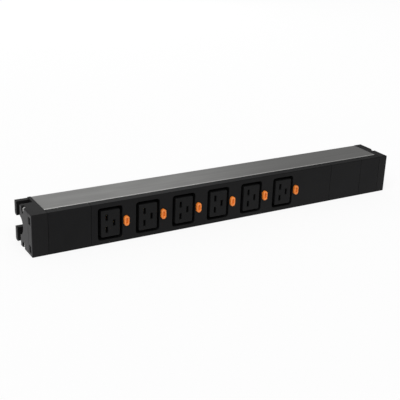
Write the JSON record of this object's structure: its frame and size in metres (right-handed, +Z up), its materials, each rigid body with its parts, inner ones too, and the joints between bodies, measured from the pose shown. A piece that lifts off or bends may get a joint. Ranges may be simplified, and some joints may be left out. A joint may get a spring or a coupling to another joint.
{
  "type": "rack power distribution unit",
  "caption": "Rack power strip: aluminium profile with a black front, a row of locking three-pin appliance outlets with release buttons, end caps and a rear T-slot.",
  "frame": {"origin": "middle of the base, on the face that the unit stands on", "axes": "+X along the unit to the right as seen from the front, +Y from the outlets to the back, +Z up"},
  "size_m": [0.44, 0.0508, 0.044],
  "materials": {
    "anodised_aluminium": "fine brushed, anodised",
    "black_moulding": "fine spark-eroded texture",
    "cap_moulding": "fine spark-eroded texture",
    "outlet_moulding": "satin moulded",
    "orange_button": "satin moulded",
    "spring_steel": "bright rolled",
    "zinc_steel": "zinc plated",
    "contact_brass": "rolled",
    "insulator": "moulded",
    "grommet_rubber": "matt"
  },
  "bodies": {
    "housing": {"aluminium_profile": "anodised_aluminium", "outlet_panel": "black_moulding", "blank_cover": "black_moulding", "terminal_cover": "black_moulding", "cable_cover": "black_moulding", "left_end_cap": "cap_moulding", "right_end_cap": "cap_moulding", "end_cap_screws": "zinc_steel", "line_busbar": "contact_brass", "neutral_busbar": "contact_brass", "earth_busbar": "contact_brass", "contact_carrier": "insulator", "terminal_block": "insulator", "terminal_clamps": "contact_brass", "terminal_screws": "zinc_steel", "earth_bond_strap": "contact_brass", "earth_bond_screw": "zinc_steel", "cord_clamp_saddle": "insulator", "cord_clamp_bar": "insulator", "cord_clamp_screws": "zinc_steel", "cable_grommet": "grommet_rubber", "outlet_insert_1": "outlet_moulding", "outlet_insert_2": "outlet_moulding", "outlet_insert_3": "outlet_moulding", "outlet_insert_4": "outlet_moulding", "outlet_insert_5": "outlet_moulding", "outlet_insert_6": "outlet_moulding", "button_spring_1": "spring_steel", "button_spring_2": "spring_steel", "button_spring_3": "spring_steel", "button_spring_4": "spring_steel", "button_spring_5": "spring_steel", "button_spring_6": "spring_steel"},
    "button_1": {"release_button_1": "orange_button"},
    "pawl_1": {"lock_pawl_1": "spring_steel"},
    "button_2": {"release_button_2": "orange_button"},
    "pawl_2": {"lock_pawl_2": "spring_steel"},
    "button_3": {"release_button_3": "orange_button"},
    "pawl_3": {"lock_pawl_3": "spring_steel"},
    "button_4": {"release_button_4": "orange_button"},
    "pawl_4": {"lock_pawl_4": "spring_steel"},
    "button_5": {"release_button_5": "orange_button"},
    "pawl_5": {"lock_pawl_5": "spring_steel"},
    "button_6": {"release_button_6": "orange_button"},
    "pawl_6": {"lock_pawl_6": "spring_steel"}
  },
  "joints": [
    {"name": "button_1_press", "type": "slide", "parent": "housing", "child": "button_1", "axis": [0, 1, 0], "range_m": [0, 0.0025], "stiffness_N_per_m": 300, "deforming": ["button_spring_1"]},
    {"name": "pawl_1_draw", "type": "slide", "parent": "housing", "child": "pawl_1", "axis": [1, 0, 0], "range_m": [0, 0.00125]},
    {"name": "button_2_press", "type": "slide", "parent": "housing", "child": "button_2", "axis": [0, 1, 0], "range_m": [0, 0.0025], "stiffness_N_per_m": 300, "deforming": ["button_spring_2"]},
    {"name": "pawl_2_draw", "type": "slide", "parent": "housing", "child": "pawl_2", "axis": [1, 0, 0], "range_m": [0, 0.00125]},
    {"name": "button_3_press", "type": "slide", "parent": "housing", "child": "button_3", "axis": [0, 1, 0], "range_m": [0, 0.0025], "stiffness_N_per_m": 300, "deforming": ["button_spring_3"]},
    {"name": "pawl_3_draw", "type": "slide", "parent": "housing", "child": "pawl_3", "axis": [1, 0, 0], "range_m": [0, 0.00125]},
    {"name": "button_4_press", "type": "slide", "parent": "housing", "child": "button_4", "axis": [0, 1, 0], "range_m": [0, 0.0025], "stiffness_N_per_m": 300, "deforming": ["button_spring_4"]},
    {"name": "pawl_4_draw", "type": "slide", "parent": "housing", "child": "pawl_4", "axis": [1, 0, 0], "range_m": [0, 0.00125]},
    {"name": "button_5_press", "type": "slide", "parent": "housing", "child": "button_5", "axis": [0, 1, 0], "range_m": [0, 0.0025], "stiffness_N_per_m": 300, "deforming": ["button_spring_5"]},
    {"name": "pawl_5_draw", "type": "slide", "parent": "housing", "child": "pawl_5", "axis": [1, 0, 0], "range_m": [0, 0.00125]},
    {"name": "button_6_press", "type": "slide", "parent": "housing", "child": "button_6", "axis": [0, 1, 0], "range_m": [0, 0.0025], "stiffness_N_per_m": 300, "deforming": ["button_spring_6"]},
    {"name": "pawl_6_draw", "type": "slide", "parent": "housing", "child": "pawl_6", "axis": [1, 0, 0], "range_m": [0, 0.00125]}
  ],
  "couplings": [
    {"joint": "pawl_1_draw", "follows": "button_1_press", "ratio": 0.5},
    {"joint": "pawl_2_draw", "follows": "button_2_press", "ratio": 0.5},
    {"joint": "pawl_3_draw", "follows": "button_3_press", "ratio": 0.5},
    {"joint": "pawl_4_draw", "follows": "button_4_press", "ratio": 0.5},
    {"joint": "pawl_5_draw", "follows": "button_5_press", "ratio": 0.5},
    {"joint": "pawl_6_draw", "follows": "button_6_press", "ratio": 0.5}
  ]
}
